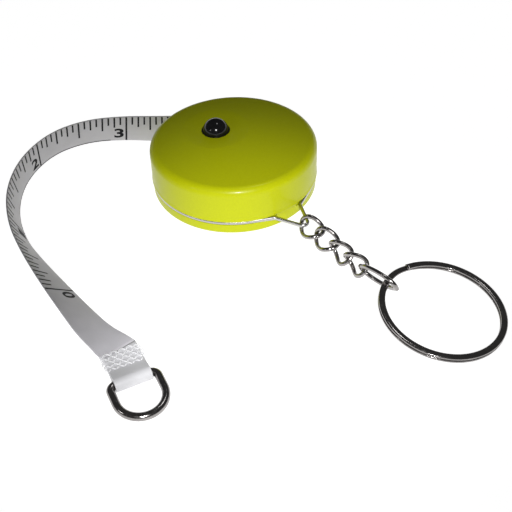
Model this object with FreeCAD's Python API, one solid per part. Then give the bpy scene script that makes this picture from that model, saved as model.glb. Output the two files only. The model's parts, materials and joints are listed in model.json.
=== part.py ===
"""Keychain tape measure: a round push-button case, its printed tape with a D-ring, and a key chain.

Millimetres, +Z up. The origin is on the case axis, on the surface that the case rests on.
Every piece is one STEP file in parts/, named after its node.
"""

import FreeCAD
import Part
import math
import os
from FreeCAD import Vector

# ---------------------------------------------------------------- driving dimensions

CASE_R = 21.0            # outer radius of the upper cover
CASE_H = 13.3            # height of the closed case
SEAM_Z = 3.95            # lower rim of the upper cover
WALL = 0.9               # side walls of both covers
TOP_T = 1.0              # top of the upper cover
FLOOR_T = 0.8            # floor of the lower cover
TOP_EDGE_R = 2.0         # rounding round the top
BOTTOM_EDGE_R = 1.1      # rounding round the bottom

LOWER_R = 20.85          # outer radius of the lower cover
LOWER_RIM_Z = 2.9        # top of its outer wall, where the band begins
SPIGOT_R = 20.05         # lip of the lower cover that the upper cover slips over
SPIGOT_T = 0.7
SPIGOT_Z = 5.1

BAND_OUT = 20.97         # metal band round the seam
BAND_T = 0.85
BAND_Z = (2.94, 3.90)
BAIL_AZ = -52.5          # direction in which the band runs out into the bail
BAIL_LEAVES = 27.5       # the band leaves the round this far each side of the bail
BAIL_CORNER = 10.5       # and bends outward this far each side of it
BAIL_END = 27.50         # inner face of the bail's tip
BAIL_TIP_R = 1.2         # bend radius of the tip, to the middle of the strip

TAPE_W = 8.0
TAPE_T = 0.34
TAPE_Z = 6.1             # height of the tape's middle inside the case
PACK_PITCH = 0.40
PACK_TURNS = 16
PACK_R = 17.3            # middle of the outermost turn
EXIT_AZ = 184.0          # direction in which the tape leaves the case

FLANGE_R = 18.6
HUB_IN = 9.7
HUB_OUT = 10.7
LOWER_FLANGE_Z = (1.55, 1.95)
UPPER_FLANGE_Z = (10.25, 10.65)
ARBOR_R = 2.0
RUNNING = 0.05           # radial clearance of a piece that turns on a pin

BUTTON_XY = (-4.4, 5.2)  # the button sits off the case axis
BUTTON_R = 3.5
BUTTON_HOLE_R = 3.65
DOME_R = 3.3
DOME_H = 2.8
RIM_Z = 12.85            # underside of the button's exposed rim
# hollow round the button: distance from the button's axis, and height above the top
DIMPLE = ((0.0, -0.60), (2.5, -0.56), (4.0, -0.45), (5.5, -0.27), (7.0, -0.11), (9.0, 0.02))

LEVER_T = 0.5
LEVER_Z = 11.35          # height of the lever's middle and of its pin
LEVER_PIVOT = 12.0       # distance of the pin from the case axis

LINK_L = 7.45            # chain link, outside
LINK_W = 5.80
WIRE_D = 1.05
LINK_TWIST = 38.0        # how far each end of a link is turned from its middle
LINK_GAP = 0.06          # play between neighbouring links
CHAIN_START_Z = 3.65
CHAIN_SLACK = 0.55       # between the first link and the bail's tip
# each link: angle of its width above the horizontal, slope of its length, and azimuth
CHAIN = ((35.0, -2.5, -52.5), (38.0, -2.0, -53.5), (76.0, 0.0, -55.0), (82.0, 3.0, -54.0))
CONNECTOR_W = 6.10
CONNECTOR_ROLL = 112.0
CONNECTOR_GAP = 0.12     # play between it and the last link
CONNECTOR_IN = 2.2       # its far end, inward from the middle of the ring's wire
CONNECTOR_RISE = 0.4     # and above it

RING_R = 14.1            # split ring, outside
RING_WIRE = (1.5, 0.70)  # section of its flat wire, radial by axial
RING_PITCH = 0.78
RING_XY = (44.6, -51.06)
RING_TILT = 8.5          # it leans on the connector
RING_TILT_AZ = -20.0     # and is lowest on this side
RING_CHAIN_AZ = 150.0    # the connector holds it here, seen from its middle
RING_END_AZ = 118.0      # where the outer turn ends
RING_OVERLAP = 34.0      # its two ends are this far apart

DRING_WIRE = 1.8
DRING_HALF = 5.15        # half of its width, to the middle of the wire
DRING_DEPTH = 9.7        # from the bar to the far side, middle to middle
DRING_CORNER = 1.5
BAR_XY = (-21.2, -66.5)  # middle of the bar
BAR_AZ = 204.6           # direction of the bar, towards the edge that carries the scale
LOOP_CLEAR = 0.35        # between the bar and the tape folded round it

# The tape outside the case, from its mouth to the stitches: the middle of the strip,
# and how far its scale edge has turned down from upright towards the outside of the curve.
TAPE_ROUTE = (
    (-19.9, 16.0, 6.4, 0.0),
    (-28.9, 15.5, 7.4, -6.0),
    (-38.8, 13.0, 8.5, -10.0),
    (-47.6, 7.4, 8.6, -10.0),
    (-53.3, -2.0, 7.6, -3.0),
    (-54.6, -12.2, 6.0, 9.0),
    (-51.9, -22.4, 4.9, 22.0),
    (-46.6, -31.6, 4.6, 37.0),
    (-40.5, -40.6, 4.3, 50.0),
    (-34.3, -49.2, 3.9, 62.0),
    (-29.3, -55.4, 3.0, 76.0),
)
PATCH_START = 8.2        # distance of the ribbon's end from the bar
PATCH_END = 3.4
FLOOR_GAP = 0.05

PARTS = "parts"


# ---------------------------------------------------------------- geometry helpers

def polar(radius, azimuth, z=0.0):
    """Point at a radius and an azimuth in degrees."""
    angle = math.radians(azimuth)
    return Vector(radius * math.cos(angle), radius * math.sin(angle), z)


def cylinder(radius, z0, z1, at=(0.0, 0.0)):
    return Part.makeCylinder(radius, z1 - z0, Vector(at[0], at[1], z0))


def tube(outer, inner, z0, z1, at=(0.0, 0.0)):
    return cylinder(outer, z0, z1, at).cut(cylinder(inner, z0 - 1, z1 + 1, at))


def sector(outer, inner, z0, z1, middle_az, half_angle):
    """Piece of a tube, half_angle each side of middle_az."""
    solid = Part.makeCylinder(outer, z1 - z0, Vector(0, 0, z0), Vector(0, 0, 1), 2 * half_angle)
    solid = solid.cut(cylinder(inner, z0 - 1, z1 + 1))
    solid.rotate(Vector(0, 0, 0), Vector(0, 0, 1), middle_az - half_angle)
    return solid


def framed(shape, origin, x_axis, z_axis):
    """Moves a shape drawn at the origin to a frame given by its origin and two axes."""
    y_axis = z_axis.cross(x_axis)
    rotation = FreeCAD.Rotation(x_axis, y_axis, z_axis, "ZXY")
    moved = shape.copy()
    moved.Placement = FreeCAD.Placement(origin, rotation).multiply(shape.Placement)
    return moved


def box(x0, x1, y0, y1, z0, z1):
    return Part.makeBox(x1 - x0, y1 - y0, z1 - z0, Vector(x0, y0, z0))


def outline(points):
    """Closed wire through points; a point may be ("arc", through, end)."""
    edges = []
    last = points[0]
    for step in list(points[1:]) + [points[0]]:
        if isinstance(step, tuple):
            edges.append(Part.Arc(last, step[1], step[2]).toShape())
            last = step[2]
        else:
            edges.append(Part.LineSegment(last, step).toShape())
            last = step
    return Part.Wire(edges)


def turned(points):
    """Solid of revolution about Z; points are in the XZ plane."""
    face = Part.Face(outline(points))
    return face.revolve(Vector(0, 0, 0), Vector(0, 0, 1), 360)


def rz(radius, z):
    return Vector(radius, 0, z)


def corner(centre_r, centre_z, radius, start, end):
    """Arc step of an outline in the XZ plane, from angle start to angle end in degrees."""
    middle = math.radians((start + end) / 2)
    last = math.radians(end)
    through = rz(centre_r + radius * math.cos(middle), centre_z + radius * math.sin(middle))
    return ("arc", through, rz(centre_r + radius * math.cos(last), centre_z + radius * math.sin(last)))


def spiral_strip(start, pitch, half_turns, thickness, z0, z1, azimuth):
    """Flat strip wound into a spiral of half circles, whose joints lie on one line."""
    along = [(start + k * pitch / 2) * (1 if k % 2 == 0 else -1) for k in range(half_turns + 1)]

    def side(offset):
        arcs = []
        for k in range(half_turns):
            centre = (along[k] + along[k + 1]) / 2
            radius = abs(along[k] - along[k + 1]) / 2 + offset
            sign = 1 if along[k] > 0 else -1
            first = Vector(centre + sign * radius, 0, z0)
            middle = Vector(centre, sign * radius, z0)
            last = Vector(centre - sign * radius, 0, z0)
            arcs.append(Part.Arc(first, middle, last).toShape())
        return arcs

    inner = side(-thickness / 2)
    outer = side(thickness / 2)
    first_cap = Part.LineSegment(inner[0].Vertexes[0].Point, outer[0].Vertexes[0].Point).toShape()
    last_cap = Part.LineSegment(inner[-1].Vertexes[-1].Point, outer[-1].Vertexes[-1].Point).toShape()
    wire = Part.Wire(Part.sortEdges([first_cap] + outer + [last_cap] + inner)[0])
    strip = Part.Face(wire).extrude(Vector(0, 0, z1 - z0))
    strip.rotate(Vector(0, 0, 0), Vector(0, 0, 1), azimuth)
    return strip


def unit(vector):
    return vector * (1.0 / vector.Length)


# ---------------------------------------------------------------- directions and places

EXIT = polar(1, EXIT_AZ)                              # the way out of the case
EXIT_SIDE = polar(1, EXIT_AZ - 90)                    # from the case axis to the exit line
TANGENT = EXIT_SIDE * PACK_R + Vector(0, 0, TAPE_Z)   # where the tape leaves the winding
MOUTH_DIST = math.sqrt(CASE_R ** 2 - PACK_R ** 2)     # from there to the outside of the wall
BUTTON_AZ = math.degrees(math.atan2(BUTTON_XY[1], BUTTON_XY[0]))
BUTTON_DIST = math.hypot(BUTTON_XY[0], BUTTON_XY[1])
TOP_Z = CASE_H
INSIDE_Z = CASE_H - TOP_T


def exit_box(start, end, half_width, z0, z1):
    """Box along the tape's way out; start and end are distances from the tangent point."""
    shape = box(start, end, -half_width, half_width, z0, z1)
    origin = Vector(TANGENT.x, TANGENT.y, 0)
    return framed(shape, origin, EXIT, Vector(0, 0, 1))


def lever_frame(shape):
    """From a frame with x outward through the button, at the case axis."""
    return framed(shape, Vector(0, 0, 0), polar(1, BUTTON_AZ), Vector(0, 0, 1))


# ---------------------------------------------------------------- case

MOUTH_HALF = 1.10        # half width of the mouth guide
MOUTH_Z = (1.80, 10.60)
MOUTH_FIT = 0.04


def mouth_opening():
    half = MOUTH_HALF + MOUTH_FIT
    return exit_box(MOUTH_DIST - 6, MOUTH_DIST + 4, half, MOUTH_Z[0] - MOUTH_FIT, MOUTH_Z[1] + MOUTH_FIT)


def upper_cover():
    inner = CASE_R - WALL
    inner_edge_r = TOP_EDGE_R - 0.6
    bead = 0.12
    shell = turned([
        rz(inner, SEAM_Z),
        rz(CASE_R + bead - 0.05, SEAM_Z),
        rz(CASE_R + bead, SEAM_Z + 0.15),
        rz(CASE_R, SEAM_Z + 1.0),
        rz(CASE_R, TOP_Z - TOP_EDGE_R),
        corner(CASE_R - TOP_EDGE_R, TOP_Z - TOP_EDGE_R, TOP_EDGE_R, 0, 90),
        rz(0, TOP_Z),
        rz(0, INSIDE_Z),
        rz(inner - inner_edge_r, INSIDE_Z),
        corner(inner - inner_edge_r, INSIDE_Z - inner_edge_r, inner_edge_r, 90, 0),
    ])
    slope = Part.BSplineCurve()
    slope.interpolate([rz(radius, TOP_Z + height) for radius, height in DIMPLE])
    rim = rz(DIMPLE[-1][0], TOP_Z + DIMPLE[-1][1])
    above = [rim, rz(rim.x, TOP_Z + 2), rz(0, TOP_Z + 2), rz(0, TOP_Z + DIMPLE[0][1])]
    edges = [slope.toShape()] + [Part.LineSegment(a, b).toShape() for a, b in zip(above, above[1:])]
    dish = Part.Face(Part.Wire(edges)).revolve(Vector(0, 0, 0), Vector(0, 0, 1), 360)
    dish.translate(Vector(BUTTON_XY[0], BUTTON_XY[1], 0))
    shell = shell.cut(dish)
    shell = shell.cut(cylinder(BUTTON_HOLE_R, INSIDE_Z - 1, TOP_Z + 1, BUTTON_XY))
    shell = shell.cut(mouth_opening())
    for hole in rivet_places():
        shell = shell.cut(cylinder(RIVET_R, INSIDE_Z - 0.1, INSIDE_Z + RIVET_DEPTH, hole))
    return shell


SCREW_HEAD_R = 2.1
SCREW_HEAD_H = 0.55
SCREW_R = 0.8
SCREW_SUNK = 0.08


def lower_cover():
    inner = SPIGOT_R - SPIGOT_T
    shell = turned([
        rz(0, 0),
        rz(LOWER_R - BOTTOM_EDGE_R, 0),
        corner(LOWER_R - BOTTOM_EDGE_R, BOTTOM_EDGE_R, BOTTOM_EDGE_R, -90, 0),
        rz(LOWER_R, LOWER_RIM_Z),
        rz(SPIGOT_R, LOWER_RIM_Z),
        rz(SPIGOT_R, SPIGOT_Z),
        rz(inner, SPIGOT_Z),
        rz(inner, FLOOR_T),
        rz(0, FLOOR_T),
    ])
    keeper_top = SEAM_Z - 0.03
    keeper = sector(LOWER_R, SPIGOT_R - 0.1, LOWER_RIM_Z - 0.2, keeper_top, BAIL_AZ, BAIL_CORNER - 2.0)
    shell = shell.fuse(keeper).removeSplitter()
    shell = shell.cut(mouth_opening())
    shell = shell.cut(cylinder(SCREW_R + 0.1, -1, 2))
    sink = Part.makeCone(SCREW_HEAD_R + 0.1, SCREW_R + 0.1, SCREW_HEAD_H, Vector(0, 0, SCREW_SUNK))
    shell = shell.cut(sink)
    return shell.cut(cylinder(SCREW_HEAD_R + 0.1, -1, SCREW_SUNK))


def band_half_path(side):
    """Named points of one side of the bail, in a frame with x along the bail."""
    radius = BAND_OUT - BAND_T / 2
    leaves = math.radians(BAIL_LEAVES)
    bends = math.radians(BAIL_CORNER)
    off = Vector(radius * math.cos(leaves), side * radius * math.sin(leaves), 0)
    corner_r = radius / math.cos(leaves - bends)
    bend = Vector(corner_r * math.cos(bends), side * corner_r * math.sin(bends), 0)
    centre = Vector(BAIL_END + BAND_T / 2 - BAIL_TIP_R, 0, 0)
    to_centre = centre - bend
    swing = math.acos(BAIL_TIP_R / to_centre.Length)
    back = math.atan2(-to_centre.y, -to_centre.x)
    touch_angle = back - side * swing
    touch = centre + Vector(math.cos(touch_angle), math.sin(touch_angle), 0) * BAIL_TIP_R
    return off, bend, touch, centre


def strip_between(first, last):
    """Straight length of the band, standing on edge, between two points of its middle."""
    along = last - first
    shape = box(0, along.Length, -BAND_T / 2, BAND_T / 2, BAND_Z[0], BAND_Z[1])
    return framed(shape, first, unit(along), Vector(0, 0, 1))


def seam_band():
    ends = (MOUTH_BAND_ENDS[0] - BAIL_AZ, MOUTH_BAND_ENDS[1] - 360 - BAIL_AZ)
    pieces = []
    for side, end in ((1, ends[0]), (-1, ends[1])):
        middle = side * (BAIL_LEAVES + abs(end)) / 2
        half = (abs(end) - BAIL_LEAVES) / 2
        pieces.append(sector(BAND_OUT, BAND_OUT - BAND_T, BAND_Z[0], BAND_Z[1], middle, half))
        off, bend, touch, centre = band_half_path(side)
        pieces.append(strip_between(off, bend))
        pieces.append(strip_between(bend, touch))
        pieces.append(cylinder(BAND_T / 2, BAND_Z[0], BAND_Z[1], (bend.x, bend.y)))
    opening = math.degrees(math.atan2(touch.y - centre.y, touch.x - centre.x))
    tip = sector(BAIL_TIP_R + BAND_T / 2, BAIL_TIP_R - BAND_T / 2, BAND_Z[0], BAND_Z[1], 0, abs(opening))
    tip.translate(Vector(centre.x, 0, 0))
    pieces.append(tip)
    band = pieces[0].multiFuse(pieces[1:]).removeSplitter()
    band.rotate(Vector(0, 0, 0), Vector(0, 0, 1), BAIL_AZ)
    return band


def mouth_guide():
    """Plastic frame in the wall that the tape slides through."""
    block = exit_box(MOUTH_DIST - 6, MOUTH_DIST + 4, MOUTH_HALF, MOUTH_Z[0], MOUTH_Z[1])
    block = block.common(tube(CASE_R - 0.02, FLANGE_R + 0.25, 0, CASE_H))
    near_mouth = exit_box(MOUTH_DIST - 5.5, MOUTH_DIST + 1, 2, 0, CASE_H)
    block = block.common(near_mouth)
    half = TAPE_T / 2 + 0.28
    slot = exit_box(MOUTH_DIST - 8, MOUTH_DIST + 5, half, TAPE_Z - TAPE_W / 2 - 0.1, TAPE_Z + TAPE_W / 2 + 0.1)
    return block.cut(slot)


MOUTH_BAND_ENDS = (116.5, 139.5)   # azimuths where the band stops each side of the mouth


# ---------------------------------------------------------------- arbor and drum

FRAME_R = 19.2
FRAME_Z = (0.85, 1.25)
ARBOR_SQUARE = 5.0
ARBOR_TOP = 10.3
CLIP_Z = (9.58, 9.86)
SPRING_COVER_Z = (9.0, 9.45)
CHAMBER_R = 9.2
KEY_W = 0.9


def lower_frame():
    """Plastic tray on the floor of the case: it holds the arbor and carries three rubbing pads."""
    half = ARBOR_SQUARE / 2 + 0.03
    plate = cylinder(FRAME_R, FRAME_Z[0], FRAME_Z[1]).cut(box(-half, half, -half, half, 0, 2))
    for k in range(3):
        window = sector(14.5, 7.0, 0, 2, 30 + 120 * k, 22)
        plate = plate.cut(window)
        pad = sector(17.6, 15.8, FRAME_Z[1] - 0.1, FRAME_Z[1] + 0.2, 90 + 120 * k, 9)
        plate = plate.fuse(pad)
    notch = exit_box(MOUTH_DIST - 6, MOUTH_DIST + 4, MOUTH_HALF + 0.4, 0, 3)
    return plate.cut(notch).removeSplitter()


def arbor():
    half = ARBOR_SQUARE / 2
    post = cylinder(ARBOR_R, FLOOR_T + 0.02, ARBOR_TOP)
    post = post.fuse(box(-half, half, -half, half, FLOOR_T + 0.02, FRAME_Z[1] - 0.02))
    post = post.cut(tube(ARBOR_R + 1, CLIP_GROOVE_R, CLIP_Z[0] - 0.03, CLIP_Z[1] + 0.03))
    slot = box(-0.2, ARBOR_R + 1, -0.17, 0.17, SPRING_Z[0] - 0.1, SPRING_Z[1] + 0.1)
    slot.rotate(Vector(0, 0, 0), Vector(0, 0, 1), SPRING_AZ)
    post = post.cut(slot)
    chamfer_cone = Part.makeCone(ARBOR_R, ARBOR_R - 0.4, 0.4, Vector(0, 0, ARBOR_TOP - 0.4))
    post = post.common(cylinder(ARBOR_R + 3, 0, ARBOR_TOP - 0.4).fuse(chamfer_cone))
    return post.cut(cylinder(SCREW_R + 0.02, 0, SCREW_LENGTH + 0.2))


CLIP_GROOVE_R = 1.55
SCREW_LENGTH = 4.2


def arbor_screw():
    """Countersunk screw from below, with a cross recess."""
    head = Part.makeCone(SCREW_HEAD_R, SCREW_R, SCREW_HEAD_H, Vector(0, 0, SCREW_SUNK))
    shank = cylinder(SCREW_R, SCREW_SUNK + SCREW_HEAD_H - 0.01, SCREW_LENGTH)
    screw = head.fuse(shank)
    for turn in (0, 90):
        blade = box(-1.1, 1.1, -0.22, 0.22, -1, SCREW_SUNK + 0.35)
        blade.rotate(Vector(0, 0, 0), Vector(0, 0, 1), 45 + turn)
        screw = screw.cut(blade)
    return screw.removeSplitter()


def thrust_washer():
    return tube(4.4, ARBOR_R + 0.1, FRAME_Z[1] + 0.02, LOWER_FLANGE_Z[0] - 0.02)


def drum():
    body = tube(FLANGE_R, ARBOR_R + RUNNING, LOWER_FLANGE_Z[0], LOWER_FLANGE_Z[1])
    body = body.fuse(tube(HUB_OUT, HUB_IN, LOWER_FLANGE_Z[1] - 0.1, UPPER_FLANGE_Z[1]))
    body = body.fuse(tube(HUB_IN + 0.1, CHAMBER_R, LOWER_FLANGE_Z[1] - 0.1, SPRING_COVER_Z[0] - 0.02))
    body = body.fuse(tube(FLANGE_R, HUB_OUT - 0.1, UPPER_FLANGE_Z[0], UPPER_FLANGE_Z[1]))
    body = body.removeSplitter()
    key_slot = box(HUB_IN - 0.2, HUB_OUT + 0.2, -KEY_W / 2 - 0.02, KEY_W / 2 + 0.02,
                   TAPE_Z - TAPE_W / 2 - 0.02, TAPE_Z + TAPE_W / 2 + 0.02)
    key_slot.rotate(Vector(0, 0, 0), Vector(0, 0, 1), EXIT_AZ - 90)
    hook_slot = box(CHAMBER_R - 0.3, HUB_IN - 0.1, -0.22, 0.22, SPRING_Z[0] - 0.1, SPRING_Z[1] + 0.1)
    hook_slot.rotate(Vector(0, 0, 0), Vector(0, 0, 1), SPRING_AZ + 180 * (SPRING_HALF_TURNS % 2))
    body = body.cut(key_slot).cut(hook_slot)
    for k in range(6):
        window = sector(16.6, 12.4, UPPER_FLANGE_Z[0] - 1, UPPER_FLANGE_Z[1] + 1, 60 * k + 10, 13)
        body = body.cut(window.common(tube(19, 11.5, LOWER_FLANGE_Z[0] - 1, LOWER_FLANGE_Z[1] + 0.01)))
    return body


def spring_cover():
    cover = tube(HUB_IN - 0.05, ARBOR_R + RUNNING, SPRING_COVER_Z[0], SPRING_COVER_Z[1])
    for k in range(3):
        cover = cover.cut(cylinder(0.9, 0, CASE_H, (6 * math.cos(2.1 * k), 6 * math.sin(2.1 * k))))
    return cover


SPRING_Z = (2.2, 8.7)
SPRING_T = 0.15
SPRING_PITCH = 0.50
SPRING_START = 2.35
SPRING_HALF_TURNS = 26
SPRING_AZ = 20.0


def mainspring():
    """Flat spiral that winds the tape in: its inner end sits in the arbor, its outer in the drum."""
    coil = spiral_strip(SPRING_START, SPRING_PITCH, SPRING_HALF_TURNS, SPRING_T,
                        SPRING_Z[0], SPRING_Z[1], SPRING_AZ)
    end_r = SPRING_START + SPRING_HALF_TURNS * SPRING_PITCH / 2
    tongue = box(SCREW_R + 0.15, SPRING_START + SPRING_T / 2, -SPRING_T / 2, SPRING_T / 2, SPRING_Z[0], SPRING_Z[1])
    hook = box(end_r - SPRING_T / 2, HUB_IN - 0.15, -SPRING_T / 2, SPRING_T / 2, SPRING_Z[0], SPRING_Z[1])
    tongue.rotate(Vector(0, 0, 0), Vector(0, 0, 1), SPRING_AZ)
    hook.rotate(Vector(0, 0, 0), Vector(0, 0, 1), SPRING_AZ + 180 * (SPRING_HALF_TURNS % 2))
    return coil.fuse(tongue).fuse(hook)


def retaining_clip():
    """E-clip in the arbor's groove, above the drum."""
    clip = tube(3.0, CLIP_GROOVE_R + 0.04, CLIP_Z[0], CLIP_Z[1])
    mouth = box(0, 4, -1.1, 1.1, 0, CASE_H)
    clip = clip.cut(mouth)
    for azimuth in (90, 180, 270):
        notch = sector(2.5, 1.9, 0, CASE_H, azimuth + 40, 12)
        clip = clip.cut(notch)
    return clip


def tape_pack():
    half_turns = 2 * PACK_TURNS
    start = PACK_R - PACK_TURNS * PACK_PITCH
    return spiral_strip(start, PACK_PITCH, half_turns, TAPE_T,
                        TAPE_Z - TAPE_W / 2, TAPE_Z + TAPE_W / 2, EXIT_AZ - 90)


def tape_anchor():
    """Key that holds the tape's inner end in the hub."""
    key = box(HUB_IN + 0.02, HUB_OUT - 0.02, -KEY_W / 2, KEY_W / 2,
              TAPE_Z - TAPE_W / 2, TAPE_Z + TAPE_W / 2)
    key.rotate(Vector(0, 0, 0), Vector(0, 0, 1), EXIT_AZ - 90)
    return key


LEAD_START = 0.25        # gap between the winding's end and the straight tape
LEAD_PAST = 0.5          # how far the straight tape stands out of the mouth


def tape_lead():
    """Straight tape between the winding and the mouth."""
    return exit_box(LEAD_START, MOUTH_DIST + LEAD_PAST, TAPE_T / 2,
                    TAPE_Z - TAPE_W / 2, TAPE_Z + TAPE_W / 2)


# ---------------------------------------------------------------- button and brake

NUB_Z = 11.63
EAR_IN = 2.2             # the button's ears are outside this, each side of the lever
RIVET_R = 0.5
RIVET_X = 17.4            # rivets, from the case axis along the lever
RIVET_DEPTH = 0.45
CARRIER_T = 0.4
CARRIER_Z = INSIDE_Z - CARRIER_T
LEVER_HALF = 1.5
LUG_GAP = 0.1
LUG_T = 0.8
PIN_R = 0.3


def rivet_places():
    places = []
    for side in (-3.0, 3.0):
        spot = lever_frame(Part.Vertex(RIVET_X, side, 0)).Point
        places.append((spot.x, spot.y))
    return places


def push_button():
    """Domed button: a rim, a skirt in the cover's hole, two ears below it and a nub on the lever."""
    dome_z = RIM_Z + 0.25
    sphere_r = (DOME_R ** 2 + DOME_H ** 2) / (2 * DOME_H)
    dome = Part.makeSphere(sphere_r, Vector(BUTTON_DIST, 0, dome_z + DOME_H - sphere_r))
    dome = dome.cut(box(-50, 50, -50, 50, -50, dome_z - 0.05))
    at = (BUTTON_DIST, 0)
    body = cylinder(BUTTON_R, INSIDE_Z - 0.1, dome_z, at)
    ears = cylinder(4.4, 11.75, INSIDE_Z - 0.02, at)
    skirt = cylinder(BUTTON_R, 11.75, INSIDE_Z, at)
    sides = ears.fuse(skirt).cut(box(-50, 50, -EAR_IN, EAR_IN, 0, 50))
    nub = cylinder(0.6, NUB_Z + 0.3, INSIDE_Z, at)
    tip = Part.makeCone(0.2, 0.6, 0.3, Vector(BUTTON_DIST, 0, NUB_Z))
    return lever_frame(body.multiFuse([dome, sides, nub, tip]).removeSplitter())


def brake_lever():
    plate = box(5.2, 15.9, -LEVER_HALF, LEVER_HALF, LEVER_Z - LEVER_T / 2, LEVER_Z + LEVER_T / 2)
    boss = Part.makeCylinder(0.6, 2 * LEVER_HALF, Vector(LEVER_PIVOT, -LEVER_HALF, LEVER_Z), Vector(0, 1, 0))
    bore = Part.makeCylinder(PIN_R + RUNNING, 8, Vector(LEVER_PIVOT, -4, LEVER_Z), Vector(0, 1, 0))
    return lever_frame(plate.fuse(boss).removeSplitter().cut(bore))


def lever_pin():
    length = 2 * (LEVER_HALF + LUG_GAP + LUG_T)
    return lever_frame(Part.makeCylinder(PIN_R, length, Vector(LEVER_PIVOT, -length / 2, LEVER_Z), Vector(0, 1, 0)))


def brake_pad():
    top = LEVER_Z - LEVER_T / 2
    return lever_frame(box(14.1, 15.8, -1.4, 1.4, UPPER_FLANGE_Z[1] + 0.06, top))


def brake_carrier():
    """Plate riveted under the top, with two lugs that hold the lever's pin."""
    window = LEVER_HALF + 0.25
    plate = box(11.3, 18.6, -4.0, 4.0, CARRIER_Z, INSIDE_Z - 0.01)
    plate = plate.cut(box(11.0, 16.6, -window, window, 0, 50))
    for side in (-1, 1):
        inner = LEVER_HALF + LUG_GAP
        y0, y1 = sorted((side * inner, side * (inner + LUG_T)))
        plate = plate.fuse(box(11.3, 12.7, y0, y1, 10.75, CARRIER_Z + 0.1))
        plate = plate.cut(cylinder(RIVET_R + 0.01, 0, 50, (RIVET_X, side * 3.0)))
    plate = plate.cut(Part.makeCylinder(PIN_R + 0.01, 12, Vector(LEVER_PIVOT, -6, LEVER_Z), Vector(0, 1, 0)))
    plate = plate.common(cylinder(18.6, 0, 50))
    return lever_frame(plate.removeSplitter())


def carrier_rivets():
    rivets = []
    for side in (-3.0, 3.0):
        shank = cylinder(RIVET_R - 0.01, CARRIER_Z - 0.01, INSIDE_Z + RIVET_DEPTH - 0.02, (RIVET_X, side))
        head = cylinder(0.85, CARRIER_Z - 0.35, CARRIER_Z - 0.01, (RIVET_X, side))
        rivets.append(lever_frame(shank.fuse(head).removeSplitter()))
    return Part.makeCompound(rivets)


def brake_spring():
    """Leaf that presses the lever's outer end down."""
    t = 0.12
    root_z = CARRIER_Z - 0.02
    tip_z = LEVER_Z + LEVER_T / 2 + 0.01
    low = [Vector(18.7, 0, root_z - t), Vector(16.9, 0, root_z - t), Vector(15.6, 0, tip_z), Vector(15.2, 0, tip_z)]
    high = [point + Vector(0, 0, t) for point in reversed(low)]
    leaf = Part.Face(outline(low + high)).extrude(Vector(0, 2.4, 0))
    leaf.translate(Vector(0, -1.2, 0))
    leaf = leaf.common(cylinder(19.2, 0, 50))
    return lever_frame(leaf)


# ---------------------------------------------------------------- tape outside the case

def bar_frame():
    """Origin and axes of the D-ring: along its bar, outward across it, and up."""
    along = polar(1, BAR_AZ)
    loop_outer = DRING_WIRE / 2 + LOOP_CLEAR + TAPE_T
    bar_z = loop_outer + FLOOR_GAP
    drop = bar_z - DRING_WIRE / 2 - FLOOR_GAP
    slope = math.asin(drop / DRING_DEPTH)
    level = polar(1, BAR_AZ + 90)
    outward = level * math.cos(slope) - Vector(0, 0, math.sin(slope))
    return Vector(BAR_XY[0], BAR_XY[1], bar_z), along, outward, level


def ribbon_sections(points):
    """Places and twists along straight runs joined by tangent arcs."""
    places = [(points[0][0], points[0][1])]
    for k in range(1, len(points) - 1):
        before, here, after = points[k - 1][0], points[k][0], points[k + 1][0]
        run_in = here - before
        run_out = after - here
        turn = run_in.getAngle(run_out)
        reach = 0.45 * min(run_in.Length, run_out.Length)
        radius = reach / math.tan(turn / 2)
        print("tape bend %d: radius %.1f mm" % (k, radius))
        start = here - unit(run_in) * reach
        toward = unit(unit(run_out) - unit(run_in))
        centre = here + toward * math.hypot(radius, reach)
        steps = max(2, int(math.ceil(math.degrees(turn) / 5)))
        axis = unit(run_in.cross(run_out))
        for i in range(steps + 1):
            spin = FreeCAD.Rotation(axis, math.degrees(turn) * i / steps)
            place = centre + spin.multVec(start - centre)
            share = i / steps - 0.5
            nearer = points[k - 1][1] if share < 0 else points[k + 1][1]
            roll = points[k][1] + (nearer - points[k][1]) * 0.9 * abs(share)
            places.append((place, roll))
    places.append((points[-1][0], points[-1][1]))
    return places


def ribbon(points, width, thickness):
    """Closed strip through the places, its edge turned by the roll at each."""
    places = ribbon_sections(points)
    wires = []
    for k, (place, roll) in enumerate(places):
        before = places[max(k - 1, 0)][0]
        after = places[min(k + 1, len(places) - 1)][0]
        along = unit(after - before)
        if k == 0:
            along = EXIT
        if k == len(places) - 1:
            along = LOOP_OUT
        outside = unit(Vector(0, 0, 1).cross(along)) * -1
        upright = unit(outside.cross(along))
        angle = math.radians(roll)
        edge = upright * math.cos(angle) + outside * math.sin(angle)
        face = edge.cross(along)
        half_w = edge * (width / 2)
        half_t = face * (thickness / 2)
        square = [place + half_w + half_t, place - half_w + half_t,
                  place - half_w - half_t, place + half_w - half_t]
        wires.append(Part.makePolygon(square + [square[0]]))
    return Part.makeLoft(wires, True, True)


BAR, BAR_ALONG, DRING_OUT, LOOP_OUT = bar_frame()
LAYER_GAP = 0.02         # between the two layers under the stitches
PATCH_Z = 1.95           # height of the stitched layers' middle


def route_points():
    mouth = TANGENT + EXIT * (MOUTH_DIST + LEAD_PAST)
    points = [(mouth, 0.0)]
    points += [(Vector(x, y, z), roll) for x, y, z, roll in TAPE_ROUTE]
    end = BAR - LOOP_OUT * PATCH_START
    end.z = PATCH_Z + TAPE_T / 2 + LAYER_GAP / 2
    points.append((end, 90.0))
    return points


def tape_ribbon():
    return ribbon(route_points(), TAPE_W, TAPE_T)


def loop_profile():
    """Outline of the folded end in the plane across the bar: x outward, z up, from the bar."""
    mid_r = DRING_WIRE / 2 + LOOP_CLEAR + TAPE_T / 2
    patch_z = PATCH_Z - BAR.z
    layer = TAPE_T / 2 + LAYER_GAP / 2
    return mid_r, patch_z, layer


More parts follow.
